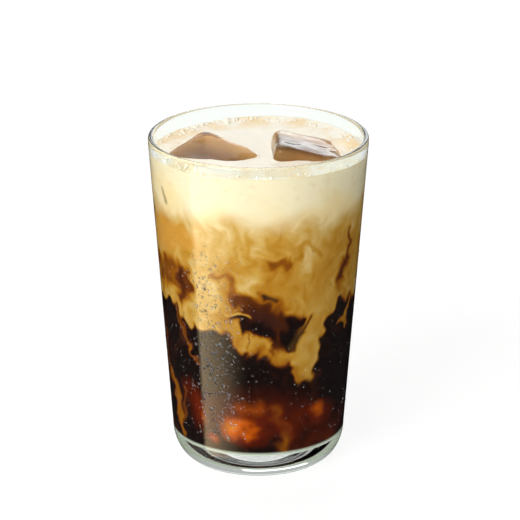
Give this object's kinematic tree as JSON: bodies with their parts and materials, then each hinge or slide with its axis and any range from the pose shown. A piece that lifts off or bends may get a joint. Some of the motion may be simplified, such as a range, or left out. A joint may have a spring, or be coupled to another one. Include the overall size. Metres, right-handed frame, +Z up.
{
  "type": "iced coffee in a glass",
  "caption": "Iced coffee in a conical clear tumbler: dark coffee below, marbled milky coffee hanging into it in plumes, pale foam on top and ice cubes breaking its surface.",
  "frame": {"origin": "centre of the foot, on the surface that the glass stands on", "axes": "+Z up along the glass's axis; the side shown in the picture faces -Y"},
  "size_m": [0.084, 0.084, 0.13],
  "materials": {
    "glass": "smooth clear soda-lime glass",
    "coffee": "dark clear liquid",
    "milk_coffee": "cloudy liquid, marbled cream to caramel",
    "foam": "fine soft milk foam",
    "ice": "wet clear ice over brown coffee"
  },
  "bodies": {
    "root": {"glass": "glass", "coffee": "coffee", "milk_coffee": "milk_coffee", "foam": "foam", "ice_left": "ice", "ice_right": "ice"}
  },
  "joints": []
}
